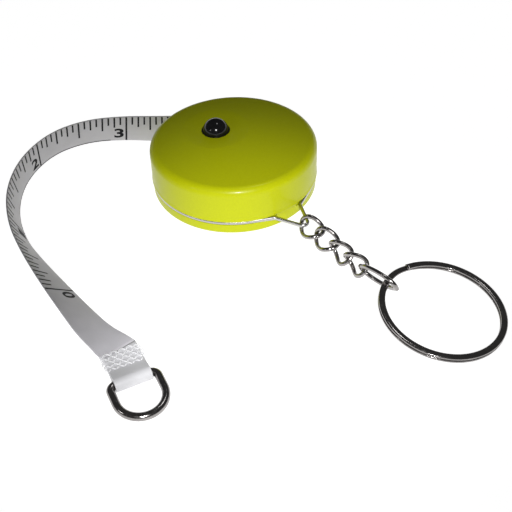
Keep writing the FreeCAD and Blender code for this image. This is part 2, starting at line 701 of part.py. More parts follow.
def strip_solid(path, thickness, width):
    """Strip that follows a path of points in the XZ plane, drawn as one closed outline."""
    normals = []
    for k in range(len(path)):
        along = path[min(k + 1, len(path) - 1)] - path[max(k - 1, 0)]
        along = unit(along)
        normals.append(Vector(-along.z, 0, along.x) * (thickness / 2))
    one = [point + normal for point, normal in zip(path, normals)]
    other = [point - normal for point, normal in zip(path, normals)]
    loop = one + list(reversed(other))
    face = Part.Face(Part.makePolygon(loop + [loop[0]]))
    solid = face.extrude(Vector(0, width, 0))
    solid.translate(Vector(0, -width / 2, 0))
    return solid


def tape_end_loop():
    """The tape's end, folded round the D-ring's bar and back under itself."""
    mid_r, patch_z, layer = loop_profile()
    upper = [Vector(-PATCH_START, 0, patch_z + layer), Vector(-PATCH_END, 0, patch_z + layer)]
    lower = [Vector(-PATCH_END, 0, patch_z - layer), Vector(-PATCH_START, 0, patch_z - layer)]
    around = []
    for k in range(-4, 19):
        angle = math.radians(120 - k * 15)
        if -118 <= 120 - k * 15 <= 118:
            around.append(Vector(mid_r * math.cos(angle), 0, mid_r * math.sin(angle)))
    loop = strip_solid(upper + around + lower, TAPE_T, TAPE_W)
    return framed(loop, BAR, LOOP_OUT, Vector(0, 0, 1))


STITCH_ROWS = 4
STITCH_COLUMNS = 7


def stitching():
    """Thread bars sewn through both layers, standing a little above and below them."""
    bars = []
    mid_r, patch_z, layer = loop_profile()
    top = patch_z + layer + TAPE_T / 2
    bottom = patch_z - layer - TAPE_T / 2
    for row in range(STITCH_ROWS):
        x = -PATCH_START + 0.7 + row * 1.05
        for column in range(STITCH_COLUMNS):
            y = (column - (STITCH_COLUMNS - 1) / 2) * 1.1
            for z in (top, bottom - 0.14):
                bars.append(box(x - 0.28, x + 0.28, y - 0.4, y + 0.4, z, z + 0.14))
    group = Part.makeCompound(bars)
    return framed(group, BAR, LOOP_OUT, Vector(0, 0, 1))


def d_ring():
    """Wire ring with a straight bar and round shoulders."""
    corner_r = DRING_CORNER
    half = DRING_HALF
    arc_x = DRING_DEPTH - half
    cut = corner_r * (1 - math.sqrt(0.5))
    path = [
        Vector(0, -half + corner_r, 0),
        Vector(0, half - corner_r, 0),
        ("arc", Vector(cut, half - cut, 0), Vector(corner_r, half, 0)),
        Vector(arc_x, half, 0),
        ("arc", Vector(DRING_DEPTH, 0, 0), Vector(arc_x, -half, 0)),
        Vector(corner_r, -half, 0),
        ("arc", Vector(cut, -half + cut, 0), Vector(0, -half + corner_r, 0)),
    ]
    edges = []
    last = path[0]
    for step in path[1:]:
        if isinstance(step, tuple):
            edges.append(Part.Arc(last, step[1], step[2]).toShape())
            last = step[2]
        else:
            edges.append(Part.LineSegment(last, step).toShape())
            last = step
    spine = Part.Wire(edges)
    section = Part.Wire(Part.makeCircle(DRING_WIRE / 2, path[0], Vector(0, 1, 0)))
    ring = spine.makePipeShell([section], True, False)
    return framed(ring, BAR, DRING_OUT, unit(BAR_ALONG.cross(DRING_OUT)))


# ---------------------------------------------------------------- chain and split ring

def link_axes(roll, slope, azimuth):
    """Length, width and normal directions of a link."""
    level = polar(1, azimuth)
    rise = math.radians(slope)
    along = level * math.cos(rise) + Vector(0, 0, math.sin(rise))
    side = unit(Vector(0, 0, 1).cross(along))
    above = along.cross(side)
    angle = math.radians(roll)
    width = side * math.cos(angle) + above * math.sin(angle)
    return along, width, along.cross(width)


def wire_loop(length, width, twist):
    """Closed oval of round wire, its two ends turned opposite ways by twist."""
    half_l = (length - WIRE_D) / 2
    half_w = (width - WIRE_D) / 2
    rise = half_w / 2 * math.tan(math.radians(twist))
    count = 16
    points = []
    for k in range(count + 1):
        t = math.pi * k / count
        points.append(Vector(half_l * math.cos(t), half_w * math.sin(t), -rise * math.sin(2 * t)))
    start = unit(Vector(0, half_w, -2 * rise))
    end = unit(Vector(0, -half_w, -2 * rise))
    curve = Part.BSplineCurve()
    curve.interpolate(Points=points, InitialTangent=start, FinalTangent=end)
    section = Part.Wire(Part.makeCircle(WIRE_D / 2, points[0], start))
    half = Part.Wire(curve.toShape()).makePipeShell([section], True, False)
    other = half.copy()
    other.rotate(Vector(0, 0, 0), Vector(0, 0, 1), 180)
    return half.fuse(other)


def chain_places():
    """Middle, axes and length of each link, from the bail outward; the last is the connector."""
    places = []
    near = polar(BAIL_END - WIRE_D / 2 - CHAIN_SLACK, BAIL_AZ, CHAIN_START_Z)
    inner = LINK_L - WIRE_D
    for roll, slope, azimuth in CHAIN:
        along, width, normal = link_axes(roll, slope, azimuth)
        places.append((near + along * (inner / 2), along, width, normal, LINK_L))
        far = near + along * inner
        near = far - along * (WIRE_D + LINK_GAP)
    near = far - along * (WIRE_D + CONNECTOR_GAP)
    reach = connector_end() - near
    slope = math.degrees(math.asin(reach.z / reach.Length))
    azimuth = math.degrees(math.atan2(reach.y, reach.x))
    along, width, normal = link_axes(CONNECTOR_ROLL, slope, azimuth)
    places.append((near + along * (reach.Length / 2), along, width, normal, reach.Length + WIRE_D))
    return places


def connector_end():
    """Middle of the connector's wire at its far end, inside the split ring."""
    hold = ring_point(RING_CHAIN_AZ)
    inward = unit(ring_axes()[0] - hold)
    return hold + inward * CONNECTOR_IN + Vector(0, 0, CONNECTOR_RISE)


def ring_axes():
    normal = polar(math.sin(math.radians(RING_TILT)), RING_TILT_AZ, math.cos(math.radians(RING_TILT)))
    height = (2 * RING_WIRE[1] + RING_PITCH - RING_WIRE[1]) / 2
    z = RING_R * math.sin(math.radians(RING_TILT)) + height * math.cos(math.radians(RING_TILT)) + 0.02
    centre = Vector(RING_XY[0], RING_XY[1], z)
    x_axis = unit(Vector(1, 0, 0) - normal * normal.x)
    return centre, x_axis, normal


def ring_point(azimuth):
    """Middle of the ring's double wire at an angle about its own normal."""
    centre, x_axis, normal = ring_axes()
    y_axis = normal.cross(x_axis)
    angle = math.radians(azimuth)
    return centre + (x_axis * math.cos(angle) + y_axis * math.sin(angle)) * (RING_R - RING_WIRE[0] / 2)


def chain_link(index):
    middle, along, width, normal, length = chain_places()[index]
    return framed(wire_loop(length, LINK_W, LINK_TWIST), middle, along, normal)


def connector_link():
    middle, along, width, normal, length = chain_places()[-1]
    return framed(wire_loop(length, CONNECTOR_W, 0.0), middle, along, normal)


def split_ring():
    """Two turns of flat wire; the crossing from one turn to the other is by its ends."""
    centre, x_axis, normal = ring_axes()
    mid_r = RING_R - RING_WIRE[0] / 2
    total = 720.0 - RING_OVERLAP
    step = 7.0
    count = int(round(total / step))
    wires = []
    for k in range(count + 1):
        turned_by = total * k / count
        azimuth = RING_END_AZ - turned_by
        share = (turned_by - 338.0 + 0.0) / 44.0
        share = min(max(share, 0.0), 1.0)
        ease = share * share * (3 - 2 * share)
        z = RING_PITCH * (0.5 - ease)
        radial = polar(1, azimuth)
        place = radial * mid_r + Vector(0, 0, z)
        a, b = RING_WIRE[0] / 2, RING_WIRE[1] / 2
        c = 0.16
        shape = [(a - c, b), (-a + c, b), (-a, b - c), (-a, -b + c),
                 (-a + c, -b), (a - c, -b), (a, -b + c), (a, b - c)]
        ring_section = [place + radial * u + Vector(0, 0, v) for u, v in shape]
        wires.append(Part.makePolygon(ring_section + [ring_section[0]]))
    ring = Part.makeLoft(wires, True, True)
    return framed(ring, centre, x_axis, normal)


# ---------------------------------------------------------------- write the parts

def build():
    nodes = {
        "upper_cover": upper_cover(),
        "lower_cover": lower_cover(),
        "seam_band": seam_band(),
        "mouth_guide": mouth_guide(),
        "lower_frame": lower_frame(),
        "arbor": arbor(),
        "arbor_screw": arbor_screw(),
        "thrust_washer": thrust_washer(),
        "drum": drum(),
        "spring_cover": spring_cover(),
        "mainspring": mainspring(),
        "retaining_clip": retaining_clip(),
        "tape_pack": tape_pack(),
        "tape_anchor": tape_anchor(),
        "tape_lead": tape_lead(),
        "push_button": push_button(),
        "brake_lever": brake_lever(),
        "lever_pin": lever_pin(),
        "brake_pad": brake_pad(),
        "brake_carrier": brake_carrier(),
        "carrier_rivets": carrier_rivets(),
        "brake_spring": brake_spring(),
        "tape_ribbon": tape_ribbon(),
        "tape_end_loop": tape_end_loop(),
        "stitching": stitching(),
        "d_ring": d_ring(),
        "connector_link": connector_link(),
        "split_ring": split_ring(),
    }
    for index in range(len(CHAIN)):
        nodes["chain_link_%d" % (index + 1)] = chain_link(index)
    return nodes


def main():
    os.makedirs(PARTS, exist_ok=True)
    for name, shape in build().items():
        bounds = shape.BoundBox
        print("%-16s valid %s solids %d volume %8.2f z %.2f to %.2f" % (
            name, shape.isValid(), len(shape.Solids), shape.Volume, bounds.ZMin, bounds.ZMax))
        shape.exportStep(os.path.join(PARTS, name + ".step"))


main()
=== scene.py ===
"""Looks of a keychain tape measure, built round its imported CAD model.

Blender units are metres; MM turns the millimetre values used here into them.
"""

import json
import math
import random

import bpy
from mathutils import Matrix, Vector


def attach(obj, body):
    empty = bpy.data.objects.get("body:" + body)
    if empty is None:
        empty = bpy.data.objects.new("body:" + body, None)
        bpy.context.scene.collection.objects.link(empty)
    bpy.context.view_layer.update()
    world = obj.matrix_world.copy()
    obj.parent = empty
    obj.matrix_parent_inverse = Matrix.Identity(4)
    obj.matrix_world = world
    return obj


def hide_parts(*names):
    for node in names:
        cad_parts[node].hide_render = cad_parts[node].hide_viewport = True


MM = 0.001

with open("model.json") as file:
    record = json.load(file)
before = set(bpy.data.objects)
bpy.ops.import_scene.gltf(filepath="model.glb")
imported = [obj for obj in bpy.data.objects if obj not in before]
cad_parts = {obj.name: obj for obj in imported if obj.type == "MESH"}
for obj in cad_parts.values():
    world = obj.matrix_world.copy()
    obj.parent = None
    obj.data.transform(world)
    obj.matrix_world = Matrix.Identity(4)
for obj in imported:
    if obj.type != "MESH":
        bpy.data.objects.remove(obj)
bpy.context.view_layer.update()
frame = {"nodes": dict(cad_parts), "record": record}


# ---------------------------------------------------------------- camera

CAMERA_PLACE = Vector((4.77, -185.88, 142.86)) * MM
CAMERA_BACK = Vector((0.0, -0.7397, 0.6729)).normalized()
CAMERA_RIGHT = Vector((0.9995, -0.0223, -0.0245))
CAMERA_LENS = 63.28


def make_camera():
    """The camera at the photograph's viewing angle."""
    right = (CAMERA_RIGHT - CAMERA_BACK * CAMERA_RIGHT.dot(CAMERA_BACK)).normalized()
    up = CAMERA_BACK.cross(right)
    data = bpy.data.cameras.new("camera")
    data.sensor_width = 36.0
    data.lens = CAMERA_LENS
    data.clip_start = 0.01
    data.clip_end = 10.0
    camera = bpy.data.objects.new("camera", data)
    turn = Matrix((right, up, CAMERA_BACK)).transposed()
    camera.matrix_world = Matrix.Translation(CAMERA_PLACE) @ turn.to_4x4()
    bpy.context.scene.collection.objects.link(camera)
    bpy.context.scene.camera = camera


make_camera()


# ---------------------------------------------------------------- mesh helpers

def add_object(name, data):
    """New object with this data, linked into the scene."""
    obj = bpy.data.objects.new(name, data)
    bpy.context.scene.collection.objects.link(obj)
    return obj


def mesh_object(name, points, faces, smooth=True):
    """New mesh object with these vertices and faces."""
    data = bpy.data.meshes.new(name)
    data.from_pydata([tuple(p) for p in points], [], faces)
    for polygon in data.polygons:
        polygon.use_smooth = smooth
    data.update()
    return add_object(name, data)


def nurbs_points(controls, resolution):
    """Points along the open NURBS line with these control points."""
    data = bpy.data.curves.new("guide", "CURVE")
    data.dimensions = "3D"
    data.resolution_u = resolution
    line = data.splines.new("NURBS")
    line.points.add(len(controls) - 1)
    for point, place in zip(line.points, controls):
        point.co = (place[0], place[1], place[2], 1.0)
    line.order_u = 3
    line.use_endpoint_u = True
    guide = bpy.data.objects.new("guide", data)
    mesh = bpy.data.meshes.new_from_object(guide)
    found = [vertex.co.copy() for vertex in mesh.vertices]
    bpy.data.objects.remove(guide)
    bpy.data.curves.remove(data)
    bpy.data.meshes.remove(mesh)
    return found


def tube_mesh(lines, radius, sides=8):
    """Vertices and faces of round tubes along lines of points, with closed ends."""
    points = []
    faces = []
    for line in lines:
        first = len(points)
        across = None
        for k, place in enumerate(line):
            along = (line[min(k + 1, len(line) - 1)] - line[max(k - 1, 0)]).normalized()
            if across is None:
                across = along.orthogonal().normalized()
            across = (across - along * across.dot(along)).normalized()
            other = along.cross(across)
            for side in range(sides):
                angle = 2 * math.pi * side / sides
                points.append(place + (across * math.cos(angle) + other * math.sin(angle)) * radius)
        for k in range(len(line) - 1):
            for side in range(sides):
                a = first + k * sides + side
                b = first + k * sides + (side + 1) % sides
                faces.append((a, b, b + sides, a + sides))
        faces.append(tuple(first + side for side in reversed(range(sides))))
        last = first + (len(line) - 1) * sides
        faces.append(tuple(last + side for side in range(sides)))
    return points, faces


def rounded_section(half_u, half_v, squareness, count):
    """Points round a section between an ellipse (squareness 2) and a rectangle."""
    points = []
    for k in range(count):
        angle = 2 * math.pi * k / count
        c, s = math.cos(angle), math.sin(angle)
        u = half_u * math.copysign(abs(c) ** (2 / squareness), c)
        v = half_v * math.copysign(abs(s) ** (2 / squareness), s)
        points.append((u, v))
    return points


def sweep(name, places, u_axes, v_axes, section):
    """Closed mesh, in metres, of a section carried along places given in millimetres."""
    count = len(section)
    points = []
    faces = []
    for place, u_axis, v_axis in zip(places, u_axes, v_axes):
        for u, v in section:
            points.append((place + u_axis * u + v_axis * v) * MM)
    for k in range(len(places) - 1):
        for side in range(count):
            a = k * count + side
            b = k * count + (side + 1) % count
            faces.append((a, a + count, b + count, b))
    faces.append(tuple(range(count)))
    last = (len(places) - 1) * count
    faces.append(tuple(last + side for side in reversed(range(count))))
    return mesh_object(name, points, faces)


def direction(azimuth):
    """Level unit vector at an azimuth in degrees."""
    angle = math.radians(azimuth)
    return Vector((math.cos(angle), math.sin(angle), 0.0))


def direction_at(places, k):
    """Direction of a line of places at its point k."""
    after = places[min(k + 1, len(places) - 1)]
    return (after - places[max(k - 1, 0)]).normalized()


def smooth_share(share):
    """Share from 0 to 1 that starts and ends gently."""
    share = min(max(share, 0.0), 1.0)
    return share * share * (3 - 2 * share)


# ---------------------------------------------------------------- materials

class Nodes:
    """A material's node tree, with a Principled shader and short ways to add to it."""

    def __init__(self, name, color, roughness, metallic=0.0):
        self.material = bpy.data.materials.new(name)
        self.material.use_nodes = True
        self.tree = self.material.node_tree
        self.shader = self.tree.nodes["Principled BSDF"]
        self.shader.inputs["Base Color"].default_value = (*color, 1.0)
        self.shader.inputs["Roughness"].default_value = roughness
        self.shader.inputs["Metallic"].default_value = metallic
        self.color = color
        self.place = self.tree.nodes.new("ShaderNodeTexCoord").outputs["Object"]
        self.bump = None

    def join(self, output, node_input):
        """Link one node's output to another's input."""
        self.tree.links.new(output, node_input)

    def noise(self, scale, detail=3.0, stretch=(1.0, 1.0, 1.0)):
        """Noise in metres: scale is features per metre."""
        place = self.place
        if stretch != (1.0, 1.0, 1.0):
            mapping = self.tree.nodes.new("ShaderNodeMapping")
            mapping.inputs["Scale"].default_value = stretch
            self.join(place, mapping.inputs["Vector"])
            place = mapping.outputs["Vector"]
        node = self.tree.nodes.new("ShaderNodeTexNoise")
        node.inputs["Scale"].default_value = scale
        node.inputs["Detail"].default_value = detail
        self.join(place, node.inputs["Vector"])
        return node.outputs["Fac"]

    def ramp(self, value, low, high, low_color, high_color):
        """Colour that goes from one to the other as the value goes from low to high."""
        node = self.tree.nodes.new("ShaderNodeValToRGB")
        node.color_ramp.elements[0].position = low
        node.color_ramp.elements[0].color = (*low_color, 1.0)
        node.color_ramp.elements[1].position = high
        node.color_ramp.elements[1].color = (*high_color, 1.0)
        self.join(value, node.inputs["Fac"])
        return node.outputs["Color"]

    def tint(self, value, amount):
        """Base colour varied round its own value by the given share."""
        low = tuple(c * (1 - amount) for c in self.color)
        high = tuple(min(1.0, c * (1 + amount)) for c in self.color)
        self.join(self.ramp(value, 0.3, 0.7, low, high), self.shader.inputs["Base Color"])

    def vary_roughness(self, value, low, high):
        """Roughness that follows the value between two limits."""
        node = self.tree.nodes.new("ShaderNodeMapRange")
        node.inputs["From Min"].default_value = 0.3
        node.inputs["From Max"].default_value = 0.7
        node.inputs["To Min"].default_value = low
        node.inputs["To Max"].default_value = high
        self.join(value, node.inputs["Value"])
        self.join(node.outputs["Result"], self.shader.inputs["Roughness"])

    def add_bump(self, value, depth_mm, strength=1.0):
        """Bump of this depth, on top of any bump already there."""
        node = self.tree.nodes.new("ShaderNodeBump")
        node.inputs["Strength"].default_value = strength
        node.inputs["Distance"].default_value = depth_mm * MM
        self.join(value, node.inputs["Height"])
        if self.bump is not None:
            self.join(self.bump, node.inputs["Normal"])
        self.bump = node.outputs["Normal"]
        self.join(self.bump, self.shader.inputs["Normal"])

    def set(self, socket, value):
        """One of the shader's own values."""
        self.shader.inputs[socket].default_value = value


def lime_shell():
    """Glossy lime lacquer with a faint orange-peel surface and fine mottling."""
    m = Nodes("lime_lacquer", (0.43, 0.465, 0.002), 0.34)
    m.tint(m.noise(2600.0, 3.0), 0.035)
    m.vary_roughness(m.noise(240.0, 4.0), 0.28, 0.40)
    m.add_bump(m.noise(2200.0, 2.0), 0.004)
    m.add_bump(m.noise(140.0, 2.0), 0.012, 0.5)
    m.set("Coat Weight", 0.10)
    m.set("Coat Roughness", 0.15)
    m.set("Specular IOR Level", 0.14)
    return m.material


def bright_band():
    """Bright wire of the seam and bail, drawn along its length."""
    m = Nodes("bright_band", (0.46, 0.45, 0.44), 0.26, 1.0)
    m.vary_roughness(m.noise(500.0, 3.0, (1.0, 1.0, 12.0)), 0.22, 0.34)
    m.add_bump(m.noise(2500.0, 2.0), 0.003)
    return m.material


def black_button():
    """Shiny black plastic with faint scuffs."""
    m = Nodes("black_button", (0.008, 0.008, 0.009), 0.12)
    m.tint(m.noise(700.0), 0.3)
    m.vary_roughness(m.noise(900.0, 5.0), 0.08, 0.20)
    m.add_bump(m.noise(1300.0, 3.0), 0.006)
    m.set("Coat Weight", 0.2)
    m.set("Coat Roughness", 0.05)
    m.set("Specular IOR Level", 0.3)
    return m.material


def dark_nickel():
    """Polished nickel plate over drawn wire: faint draw lines, small clouds in the polish."""
    m = Nodes("dark_nickel", (0.32, 0.305, 0.30), 0.17, 1.0)
    m.tint(m.noise(420.0, 4.0), 0.14)
    m.vary_roughness(m.noise(1600.0, 5.0), 0.08, 0.24)
    m.add_bump(m.noise(3200.0, 2.0), 0.006)
    m.add_bump(m.noise(450.0, 3.0), 0.012)
    return m.material


def coated_cloth(name, color):
    """White coated ribbon: the weave shows faintly through the coat."""
    m = Nodes(name, color, 0.42)
    uv = m.tree.nodes.new("ShaderNodeUVMap")
    uv.uv_map = "ribbon"
    for turn in ("X", "Y"):
        wave = m.tree.nodes.new("ShaderNodeTexWave")
        wave.wave_type = "BANDS"
        wave.bands_direction = turn
        wave.inputs["Scale"].default_value = 1.1
        wave.inputs["Distortion"].default_value = 0.4
        m.join(uv.outputs["UV"], wave.inputs["Vector"])
        m.add_bump(wave.outputs["Fac"], 0.008, 0.6)
    m.tint(m.noise(260.0, 4.0), 0.035)
    m.vary_roughness(m.noise(500.0, 3.0), 0.36, 0.50)
    m.set("Specular IOR Level", 0.25)
    return m.material


def print_ink():
    """Matt black ink, a little uneven."""
    m = Nodes("print_ink", (0.010, 0.010, 0.013), 0.55)
    m.set("Specular IOR Level", 0.1)
    m.tint(m.noise(3000.0, 3.0), 0.5)
    m.vary_roughness(m.noise(2200.0, 2.0), 0.40, 0.58)
    return m.material


def white_thread():
    """Twisted sewing thread."""
    m = Nodes("white_thread", (0.80, 0.80, 0.82), 0.70)
    m.tint(m.noise(2600.0, 4.0), 0.12)
    m.add_bump(m.noise(6000.0, 3.0), 0.020)
    m.set("Sheen Weight", 0.2)
    return m.material


def plain_steel():
    """Brushed steel of the inner parts."""
    m = Nodes("plain_steel", (0.56, 0.56, 0.57), 0.35, 1.0)
    m.tint(m.noise(600.0), 0.08)
    m.vary_roughness(m.noise(900.0, 5.0, (1.0, 14.0, 1.0)), 0.28, 0.44)
    m.add_bump(m.noise(2000.0, 3.0, (1.0, 14.0, 1.0)), 0.004)
    return m.material


def spring_steel():
    """Blued spring strip."""
    m = Nodes("spring_steel", (0.26, 0.29, 0.36), 0.30, 1.0)
    m.tint(m.noise(300.0, 4.0), 0.25)
    m.vary_roughness(m.noise(900.0, 4.0, (1.0, 1.0, 12.0)), 0.22, 0.40)
    return m.material


def moulded_plastic(name, color):
    """Matt moulded plastic."""
    m = Nodes(name, color, 0.50)
    m.tint(m.noise(500.0), 0.04)
    m.vary_roughness(m.noise(1400.0, 4.0), 0.44, 0.58)
    m.add_bump(m.noise(3000.0, 3.0), 0.008)
    return m.material


def brake_rubber():
    """Black rubber of the brake pad."""
    m = Nodes("brake_rubber", (0.020, 0.020, 0.020), 0.75)
    m.tint(m.noise(900.0), 0.3)
    m.add_bump(m.noise(2600.0, 5.0), 0.030)
    return m.material


LOOKS = {
    "lime_shell": lime_shell(),
    "lime_guide": lime_shell(),
    "bright_band": bright_band(),
    "black_button": black_button(),
    "tape_vinyl": coated_cloth("tape_vinyl", (0.56, 0.55, 0.58)),
    "white_thread": white_thread(),
    "dark_nickel": dark_nickel(),
    "steel": plain_steel(),
    "spring_steel": spring_steel(),
    "white_plastic": moulded_plastic("white_plastic", (0.72, 0.72, 0.69)),
    "washer_plastic": moulded_plastic("washer_plastic", (0.05, 0.05, 0.05)),
    "brake_rubber": brake_rubber(),
}
SEWN_END = coated_cloth("sewn_end", (0.66, 0.66, 0.68))
INK = print_ink()


def dress_cad_nodes():
    """Every CAD node gets the look of its own material slot."""
    for part in frame["record"]["subparts"]:
        node = frame["nodes"][part["node"]]
        for material_slot in node.material_slots:
            material_slot.material = LOOKS[part["material_slot"]]


dress_cad_nodes()


# ---------------------------------------------------------------- wire round the seam

BAND_MIDDLE_R = 20.545
BAND_Z = 3.42
BAND_HALF_T = 0.425       # half of its thickness
BAND_HALF_H = 0.48        # and of its height
BAND_ENDS = (169.0, 168.0)  # where it stops each side of the mouth, from the bail's direction
BAND_STEPS = 28
BAIL_AZ = -52.5
BAIL_LEAVES = 27.5        # it leaves the round this far each side of the bail
BAIL_CORNER = 10.5        # and bends outward here
BAIL_TIP = 26.725         # middle of the bend at the tip
BAIL_TIP_R = 1.2
BAIL_TOUCH = 65.2         # where the legs run into that bend


def half_band(side, end):
    """Control points from the bail's tip round one side of the case to the mouth."""
    tip = Vector((BAIL_TIP, 0.0, 0.0))
    corner_r = BAND_MIDDLE_R / math.cos(math.radians(BAIL_LEAVES - BAIL_CORNER))
    bend = direction(side * BAIL_CORNER) * corner_r
    leaves = direction(side * BAIL_LEAVES) * BAND_MIDDLE_R
    touch = tip + direction(side * BAIL_TOUCH) * BAIL_TIP_R
    points = [tip + direction(side * BAIL_TOUCH * share) * BAIL_TIP_R for share in (0.33, 0.67)]
    points += [touch, bend + (touch - bend).normalized() * 0.7, bend]
    points += [bend + (leaves - bend).normalized() * 0.7, leaves]
    for k in range(1, BAND_STEPS + 1):
        azimuth = BAIL_LEAVES + (end - BAIL_LEAVES) * k / BAND_STEPS
        points.append(direction(side * azimuth) * BAND_MIDDLE_R)
    return points


def seam_wire():
    """The wire in the seam of the case, with the bail that holds the chain."""
    controls = list(reversed(half_band(1, BAND_ENDS[0])))
    controls += [Vector((BAIL_TIP + BAIL_TIP_R, 0.0, 0.0))] + half_band(-1, BAND_ENDS[1])
    turn = Matrix.Rotation(math.radians(BAIL_AZ), 3, "Z")
    places = nurbs_points([turn @ point + Vector((0.0, 0.0, BAND_Z)) for point in controls], 8)
    up = Vector((0.0, 0.0, 1.0))
    sides = [direction_at(places, k).cross(up) for k in range(len(places))]
    section = rounded_section(BAND_HALF_T, BAND_HALF_H, 2.3, 20)
    made = sweep("seam_wire", places, sides, [up] * len(places), section)
    made.data.materials.append(LOOKS["bright_band"])
    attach(made, "case")
    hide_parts("seam_band")


seam_wire()


# ---------------------------------------------------------------- split ring

RING_MIDDLE = Vector((44.6, -51.06, 2.836))
RING_TILT = 8.5
RING_TILT_AZ = -20.0
RING_MIDDLE_R = 13.35
RING_HALF_W = 0.75        # half of the wire's width, across the ring
RING_HALF_T = 0.35        # and of its thickness
RING_PITCH = 0.78         # from one turn to the other
RING_STEPS = 300
RING_END_AZ = 118.0
RING_TURNED = 686.0       # the wire goes round this far
RING_CROSSING = (338.0, 382.0)  # and crosses from turn to turn here


def ring_coils():
    """The split ring: one wire that goes round nearly twice."""
    tilt = math.radians(RING_TILT)
    normal = direction(RING_TILT_AZ) * math.sin(tilt) + Vector((0.0, 0.0, math.cos(tilt)))
    x_axis = (Vector((1.0, 0.0, 0.0)) - normal * normal.x).normalized()
    y_axis = normal.cross(x_axis)
    places = []
    outwards = []
    for k in range(RING_STEPS + 1):
        turned = RING_TURNED * k / RING_STEPS
        angle = math.radians(RING_END_AZ - turned)
        crossed = (turned - RING_CROSSING[0]) / (RING_CROSSING[1] - RING_CROSSING[0])
        outward = x_axis * math.cos(angle) + y_axis * math.sin(angle)
        rise = RING_PITCH * (0.5 - smooth_share(crossed))
        places.append(RING_MIDDLE + outward * RING_MIDDLE_R + normal * rise)
        outwards.append(outward)
    section = rounded_section(RING_HALF_W, RING_HALF_T, 2.6, 20)
    made = sweep("ring_coils", places, outwards, [normal] * len(places), section)
    made.data.materials.append(LOOKS["dark_nickel"])
    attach(made, "ring")
    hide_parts("split_ring")


ring_coils()


# ---------------------------------------------------------------- tape outside the case

TAPE_W = 8.0
TAPE_T = 0.34
EXIT_AZ = 184.0           # direction in which the tape leaves the case
LEAD_LENGTH = 12.1        # straight tape between the winding and the mouth
BAR = Vector((-21.2, -66.5, 1.64))        # middle of the D-ring's bar
BAR_AZ = 204.6
BAR_ALONG = direction(BAR_AZ)
LOOP_OUT = direction(BAR_AZ + 90)
PATCH_START = 8.2
PATCH_END = 3.4
PATCH_Z = 1.95
PATCH_MIDDLE = 6.0
FOLD_R = 1.47             # from the bar's middle to the middle of the tape round it
FOLD_SLACK = 0.06         # the layers part this much before they go round the bar
LAYER = TAPE_T / 2 + 0.01                 # from the middle of both layers to one layer's middle

# Control points of the tape's middle line from the mouth to the stitches, with the angle
# by which its scale edge leans from upright towards the outside of the curve.
ROUTE = [
    (-13.57, 16.40, 6.1, 0.0),
    (-19.9, 16.0, 6.4, 0.0),
    (-28.9, 15.5, 7.4, -6.0),
    (-38.8, 13.0, 8.5, -10.0),
    (-47.6, 7.4, 8.6, -10.0),
    (-53.3, -2.0, 7.6, -3.0),
    (-54.6, -12.2, 6.0, 9.0),
    (-51.9, -22.4, 4.9, 22.0),
    (-46.6, -31.6, 4.6, 37.0),
    (-40.5, -40.6, 4.3, 50.0),
    (-34.3, -49.2, 3.9, 62.0),
    (-29.3, -55.4, 3.0, 76.0),
    (BAR.x - LOOP_OUT.x * PATCH_START, BAR.y - LOOP_OUT.y * PATCH_START, PATCH_Z + LAYER, 90.0),
]

# Outline of the ribbon's section: (towards the scale edge, towards the printed face).
RIBBON_SECTION = [
    (4.00, -0.07), (4.00, 0.07), (3.93, 0.145), (3.80, 0.17),
    (2.0, 0.17), (0.0, 0.17), (-2.0, 0.17),
    (-3.80, 0.17), (-3.93, 0.145), (-4.00, 0.07), (-4.00, -0.07), (-3.93, -0.145),
    (-3.80, -0.17), (-2.0, -0.17), (0.0, -0.17), (2.0, -0.17), (3.80, -0.17), (3.93, -0.145),
]


class Ribbon:
    """Frames along the tape: place, direction of the scale edge, and printed face."""

    def __init__(self, places, edges):
        self.places = places
        self.edge = edges
        self.face = []
        self.travelled = [0.0]
        for k, place in enumerate(places):
            self.face.append(edges[k].cross(direction_at(places, k)).normalized())
            if k:
                self.travelled.append(self.travelled[-1] + (place - places[k - 1]).length)

    def at(self, distance, across, lift):
        """Point at a distance along, across from the middle, and off the middle surface."""
        k = 0
        while k < len(self.travelled) - 2 and self.travelled[k + 1] < distance:
            k += 1
        share = (distance - self.travelled[k]) / (self.travelled[k + 1] - self.travelled[k])
        place = self.places[k].lerp(self.places[k + 1], share)
        edge = self.edge[k].lerp(self.edge[k + 1], share).normalized()
        face = self.face[k].lerp(self.face[k + 1], share).normalized()
        return place + edge * across + face * lift

    def solid(self, name, look):
        """The strip's mesh, with a UV map in millimetres along and across."""
        made = sweep(name, self.places, self.edge, self.face, RIBBON_SECTION)
        count = len(RIBBON_SECTION)
        layer = made.data.uv_layers.new(name="ribbon")
        for loop in made.data.loops:
            row, side = divmod(loop.vertex_index, count)
            layer.data[loop.index].uv = (self.travelled[row], RIBBON_SECTION[side][0])
        made.data.materials.append(look)
        return made


def leaning_edges(places, leans):
    """Directions of the scale edge, leaned from upright towards the outside of the curve."""
    edges = []
    for k in range(len(places)):
        along = direction_at(places, k)
        outside = along.cross(Vector((0.0, 0.0, 1.0))).normalized()
        upright = outside.cross(along)
        edges.append(upright * math.cos(leans[k].x) + outside * math.sin(leans[k].x))
    return edges


def mitred(places, edges, joint, mitre, reach):
    """Edges turned into the mitre, the more the nearer they are to the joint."""
    turned = []
    for place, edge in zip(places, edges):
        near = smooth_share(1 - (place - joint).length / reach)
        turned.append(edge.lerp(mitre, near))
    return turned


def free_ribbon():
    """The tape from the mouth to the stitches, and the mitre where the sewn end begins."""
    places = nurbs_points([point[:3] for point in ROUTE], 16)
    leans = nurbs_points([(math.radians(point[3]), 0.0, 0.0) for point in ROUTE], 16)
    edges = leaning_edges(places, leans)
    mitre = (edges[-1] + BAR_ALONG) / (1 + edges[-1].dot(BAR_ALONG))
    return Ribbon(places, mitred(places, edges, places[-1], mitre, 5.0)), mitre


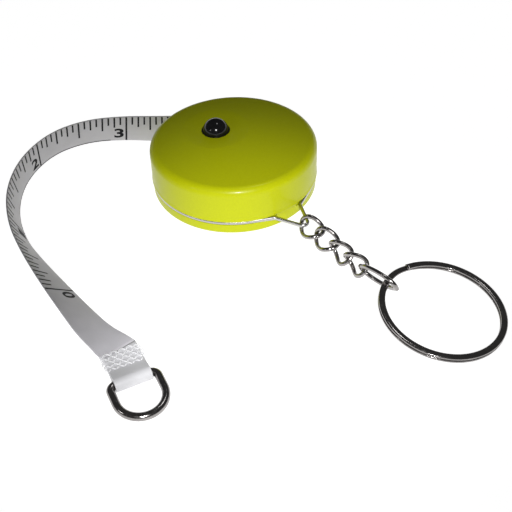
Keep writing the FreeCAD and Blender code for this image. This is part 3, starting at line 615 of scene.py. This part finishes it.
def folded_end(mitre):
    """The tape's end, round the D-ring's bar and back under itself."""
    middle = PATCH_Z - BAR.z
    profile = [(-PATCH_START, middle + LAYER), (-PATCH_MIDDLE, middle + LAYER)]
    profile.append((-PATCH_END, middle + LAYER + FOLD_SLACK))
    for angle in range(112, -113, -28):
        turn = math.radians(angle)
        profile.append((FOLD_R * math.cos(turn), FOLD_R * math.sin(turn)))
    profile.append((-PATCH_END, middle - LAYER - FOLD_SLACK))
    profile += [(-PATCH_MIDDLE, middle - LAYER), (-PATCH_START, middle - LAYER)]
    controls = [BAR + LOOP_OUT * x + Vector((0.0, 0.0, z)) for x, z in profile]
    places = nurbs_points(controls, 8)
    edges = mitred(places, [BAR_ALONG] * len(places), places[0], mitre, 3.0)
    return Ribbon(places, edges)


def straight_lead():
    """The tape between the winding and the mouth."""
    end = Vector(ROUTE[0][:3])
    places = [end - direction(EXIT_AZ) * LEAD_LENGTH * (1 - k / 12) for k in range(13)]
    return Ribbon(places, [Vector((0.0, 0.0, 1.0))] * len(places))


ribbon, sewn_mitre = free_ribbon()
fold = folded_end(sewn_mitre)
lead = straight_lead()
tape = ribbon.solid("tape_outside", LOOKS["tape_vinyl"])
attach(tape, "tape")
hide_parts("tape_ribbon")
tape_inside = lead.solid("tape_inside", LOOKS["tape_vinyl"])
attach(tape_inside, "tape")
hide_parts("tape_lead")
tape_fold = fold.solid("tape_fold", SEWN_END)
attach(tape_fold, "tape")
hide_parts("tape_end_loop")


# ---------------------------------------------------------------- printed scale

INCH = 25.4
ZERO_AT = 91.4            # distance of the zero line from the start of the free tape
PRINT_LIFT = TAPE_T / 2 + 0.008
EDGE_MARGIN = 0.15
FINEST = 16               # ticks per inch in all
# Ticks per inch, length, line width: the coarsest kind that fits a place is drawn there.
TICKS = ((1, 7.7, 0.48), (2, 5.1, 0.46), (4, 4.2, 0.46), (8, 3.3, 0.44), (16, 2.5, 0.44))
DIGIT_HEIGHT = 3.1
DIGIT_WIDTH = 2.5
DIGIT_BASE = -2.95        # foot of the digits, across the tape
DIGIT_GAP = 0.70          # from a digit to its inch line
PAINTED_SHADOW_LINE = (-3.70, 0.22)    # place and width of the painted shadow line along the far edge
PAINTED_SHADOW_RUN = (24.0, 72.0)  # readings between which the painted shadow line is drawn


class Print:
    """Flat ink shapes laid on a strip's printed face."""

    def __init__(self, strip, zero_at):
        self.strip = strip
        self.zero_at = zero_at
        self.points = []
        self.faces = []

    def put(self, scale_mm, across):
        place = self.strip.at(self.zero_at - scale_mm, across, PRINT_LIFT)
        self.points.append(place * MM)

    def bar(self, from_mm, to_mm, low, high, steps_along=1, steps_across=4):
        """Rectangle between two scale readings and two distances across."""
        first = len(self.points)
        for i in range(steps_along + 1):
            for j in range(steps_across + 1):
                self.put(from_mm + (to_mm - from_mm) * i / steps_along,
                         low + (high - low) * j / steps_across)
        row = steps_across + 1
        for i in range(steps_along):
            for j in range(steps_across):
                a = first + i * row + j
                self.faces.append((a, a + 1, a + row + 1, a + row))

    def digit(self, text, inch_line):
        """Numeral upright to the scale edge, on the open side of its inch line."""
        data = bpy.data.curves.new("numeral", "FONT")
        data.body = text
        data.size = 1.0
        data.offset = 0.030
        data.resolution_u = 6
        holder = bpy.data.objects.new("numeral", data)
        mesh = bpy.data.meshes.new_from_object(holder)
        right = max(v.co.x for v in mesh.vertices)
        foot = min(v.co.y for v in mesh.vertices)
        wide = DIGIT_WIDTH / (right - min(v.co.x for v in mesh.vertices))
        high = DIGIT_HEIGHT / (max(v.co.y for v in mesh.vertices) - foot)
        first = len(self.points)
        for vertex in mesh.vertices:
            reading = inch_line - DIGIT_GAP - (right - vertex.co.x) * wide
            self.put(reading, DIGIT_BASE + (vertex.co.y - foot) * high)
        for polygon in mesh.polygons:
            self.faces.append(tuple(first + v for v in polygon.vertices))
        bpy.data.objects.remove(holder)
        bpy.data.curves.remove(data)
        bpy.data.meshes.remove(mesh)


def printed_scale(name, strip, zero_at, lowest, highest):
    """Ticks and numerals of one strip, between two scale readings in millimetres, and on the strip
    that starts at zero a painted shadow line along the far edge.
    """
    ink = Print(strip, zero_at)
    top = TAPE_W / 2 - EDGE_MARGIN
    for tick in range(round(highest / INCH * FINEST) + 1):
        middle = tick * INCH / FINEST
        if middle < lowest or middle > highest:
            continue
        for per_inch, length, width in TICKS:
            if tick % (FINEST // per_inch) == 0:
                ink.bar(middle - width / 2, middle + width / 2, top - length, top)
                break
        if tick % FINEST == 0:
            ink.digit(str(tick // FINEST), middle)
    # A dark ink line along the far edge stands in for the shadow where the tape's lower edge rests
    # on the floor: painted shadow, not print.
    if lowest == 0:
        low = PAINTED_SHADOW_LINE[0] - PAINTED_SHADOW_LINE[1] / 2
        ink.bar(PAINTED_SHADOW_RUN[0], PAINTED_SHADOW_RUN[1], low, low + PAINTED_SHADOW_LINE[1], 120, 1)
    made = mesh_object(name, ink.points, ink.faces, smooth=False)
    made.data.materials.append(INK)
    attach(made, "tape")
    return made


scale_print = printed_scale("tape_print", ribbon, ZERO_AT, 0, ZERO_AT - 0.3)
printed_scale("lead_print", lead, ZERO_AT + LEAD_LENGTH, ZERO_AT + 0.3, ZERO_AT + LEAD_LENGTH - 1)


# ---------------------------------------------------------------- stitches at the fold

THREAD_R = 0.20
STITCH_INSET = 0.35       # from the patch's start to its first row
STITCH_MARGIN = 0.15      # from the tape's edges to the ends of a row
THREAD_RISE = 0.16        # a thread stands this high between its needle holes
HOLE_DEPTH = 0.06         # and goes this deep into them
STITCH_ROWS = 5
STITCH_PITCH = 1.08       # from row to row along the tape
ZIGZAG_STEP = 0.78        # half a zigzag across the tape
ZIGZAG_REACH = 0.47       # how far it swings along the tape
FRAY_R = 0.07
FRAY_COUNT = 9            # loose loops at each edge
FRAY_PITCH = 0.52
FRAY_INSET = 0.4
FRAY_ROOT = 3.7           # where a loop leaves the cloth, from the tape's middle


def loop_place(x, y, z):
    """Point x outward from the bar, y along it towards the scale edge, and z above the floor."""
    place = BAR + LOOP_OUT * x + BAR_ALONG * y
    return Vector((place.x, place.y, z)) * MM


def zigzag_row(row, surface_z, outward):
    """One sewn line across the tape, rising between its needle holes."""
    rng = random.Random(40 + row)
    line = []
    middle = -PATCH_START + STITCH_INSET + row * STITCH_PITCH
    width = TAPE_W - 2 * STITCH_MARGIN
    count = int(width / ZIGZAG_STEP)
    for k in range(count + 1):
        y = -TAPE_W / 2 + STITCH_MARGIN + k * width / count
        x = middle + (ZIGZAG_REACH if (k + row) % 2 else -ZIGZAG_REACH) + rng.uniform(-0.06, 0.06)
        if line:
            last_x, last_y = line[-1][0], line[-1][1]
            for share in (0.25, 0.5, 0.75):
                rise = THREAD_RISE * math.sin(math.pi * share) + 0.02
                line.append((last_x + (x - last_x) * share, last_y + (y - last_y) * share, rise))
        line.append((x, y, -HOLE_DEPTH))
    return [loop_place(x, y, surface_z + outward * rise) for x, y, rise in line]


def frayed_loops(surface_z):
    """Short loose loops of thread at both edges of the sewn patch."""
    rng = random.Random(7)
    lines = []
    for side in (-1, 1):
        for k in range(FRAY_COUNT):
            x = -PATCH_START + FRAY_INSET + k * FRAY_PITCH + rng.uniform(-0.15, 0.15)
            reach = rng.uniform(0.25, 0.75)
            spread = rng.uniform(0.2, 0.5)
            height = rng.uniform(-0.1, 0.25)
            controls = [
                (x, side * FRAY_ROOT, surface_z + 0.04),
                (x - spread, side * (4.0 + reach * 0.6), surface_z + height),
                (x, side * (4.0 + reach), surface_z + height * 0.5),
                (x + spread, side * (4.0 + reach * 0.5), surface_z - 0.1),
                (x + spread * 0.4, side * FRAY_ROOT, surface_z + 0.04),
            ]
            lines.append(nurbs_points([loop_place(*c) for c in controls], 6))
    return lines


def stitches():
    top = PATCH_Z + LAYER + TAPE_T / 2
    under = PATCH_Z - LAYER - TAPE_T / 2
    rows = [zigzag_row(row, top, 1.0) for row in range(STITCH_ROWS)]
    rows += [zigzag_row(row, under, -1.0) for row in range(STITCH_ROWS)]
    points, faces = tube_mesh(rows, THREAD_R * MM)
    more_points, more_faces = tube_mesh(frayed_loops(top), FRAY_R * MM, 6)
    shift = len(points)
    faces += [tuple(index + shift for index in face) for face in more_faces]
    made = mesh_object("stitch_threads", points + more_points, faces)
    made.data.materials.append(LOOKS["white_thread"])
    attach(made, "tape")
    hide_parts("stitching")
    return made


threads = stitches()


# ---------------------------------------------------------------- floor and light

# Profile of the floor and of the low backdrop round it: distance from the middle, and height.
STAGE = [(0.5, 0.0), (1.5, 0.0), (2.4, 0.0), (2.7, 0.02), (2.9, 0.07), (3.0, 0.18), (3.05, 0.35)]


def make_floor():
    """Floor that gives off its own pale light and curves up into a low backdrop."""
    sides = 64
    points = [Vector((0.0, 0.0, 0.0))]
    for radius, height in STAGE:
        for side in range(sides):
            points.append(direction(360 * side / sides) * radius + Vector((0.0, 0.0, height)))
    faces = [(0, 1 + side, 1 + (side + 1) % sides) for side in range(sides)]
    for ring in range(len(STAGE) - 1):
        first = 1 + ring * sides
        for side in range(sides):
            a, b = first + side, first + (side + 1) % sides
            faces.append((a, a + sides, b + sides, b))
    floor = mesh_object("floor", points, faces)
    floor.location.z = -0.03 * MM
    m = Nodes("floor", (0.40, 0.40, 0.40), 0.9)
    m.set("Specular IOR Level", 0.1)
    m.set("Emission Color", (1.0, 1.0, 1.0, 1.0))
    m.set("Emission Strength", 0.95)
    floor.data.materials.append(m.material)


def aim(light, place, target):
    """Put a light at a place, pointing at a target, both in millimetres."""
    towards = Vector(target) - Vector(place)
    turn = towards.to_track_quat("-Z", "Y").to_matrix().to_4x4()
    light.matrix_world = Matrix.Translation(Vector(place) * MM) @ turn
    bpy.context.scene.collection.objects.link(light)


def area_light(name, place, target, size, power):
    """Round soft light."""
    data = bpy.data.lights.new(name, "AREA")
    data.shape = "DISK"
    data.size = size * MM
    data.energy = power
    aim(bpy.data.objects.new(name, data), place, target)


def spot_light(name, place, target, radius, cone, blend, power):
    """Spot whose cone, in degrees, fades over its outer part."""
    data = bpy.data.lights.new(name, "SPOT")
    data.shadow_soft_size = radius * MM
    data.spot_size = math.radians(cone)
    data.spot_blend = blend
    data.energy = power
    aim(bpy.data.objects.new(name, data), place, target)


def make_light():
    """Small key light behind and above the camera, two weak fills and an even surround."""
    world = bpy.data.worlds.new("world")
    world.use_nodes = True
    background = world.node_tree.nodes["Background"]
    background.inputs["Color"].default_value = (1.0, 1.0, 1.0, 1.0)
    background.inputs["Strength"].default_value = 0.06
    bpy.context.scene.world = world
    spot_light("key", place=(28.6, -326.8, 283.2), target=(4.0, -44.0, 3.0),
               radius=12.0, cone=14.6, blend=0.85, power=7.8)
    area_light("overhead", place=(60, 60, 320), target=(0, -20, 0), size=60, power=0.05)
    area_light("left", place=(-220, -160, 160), target=(0, -30, 0), size=50, power=0.04)
    bpy.context.scene.view_settings.view_transform = "Standard"


make_floor()
make_light()
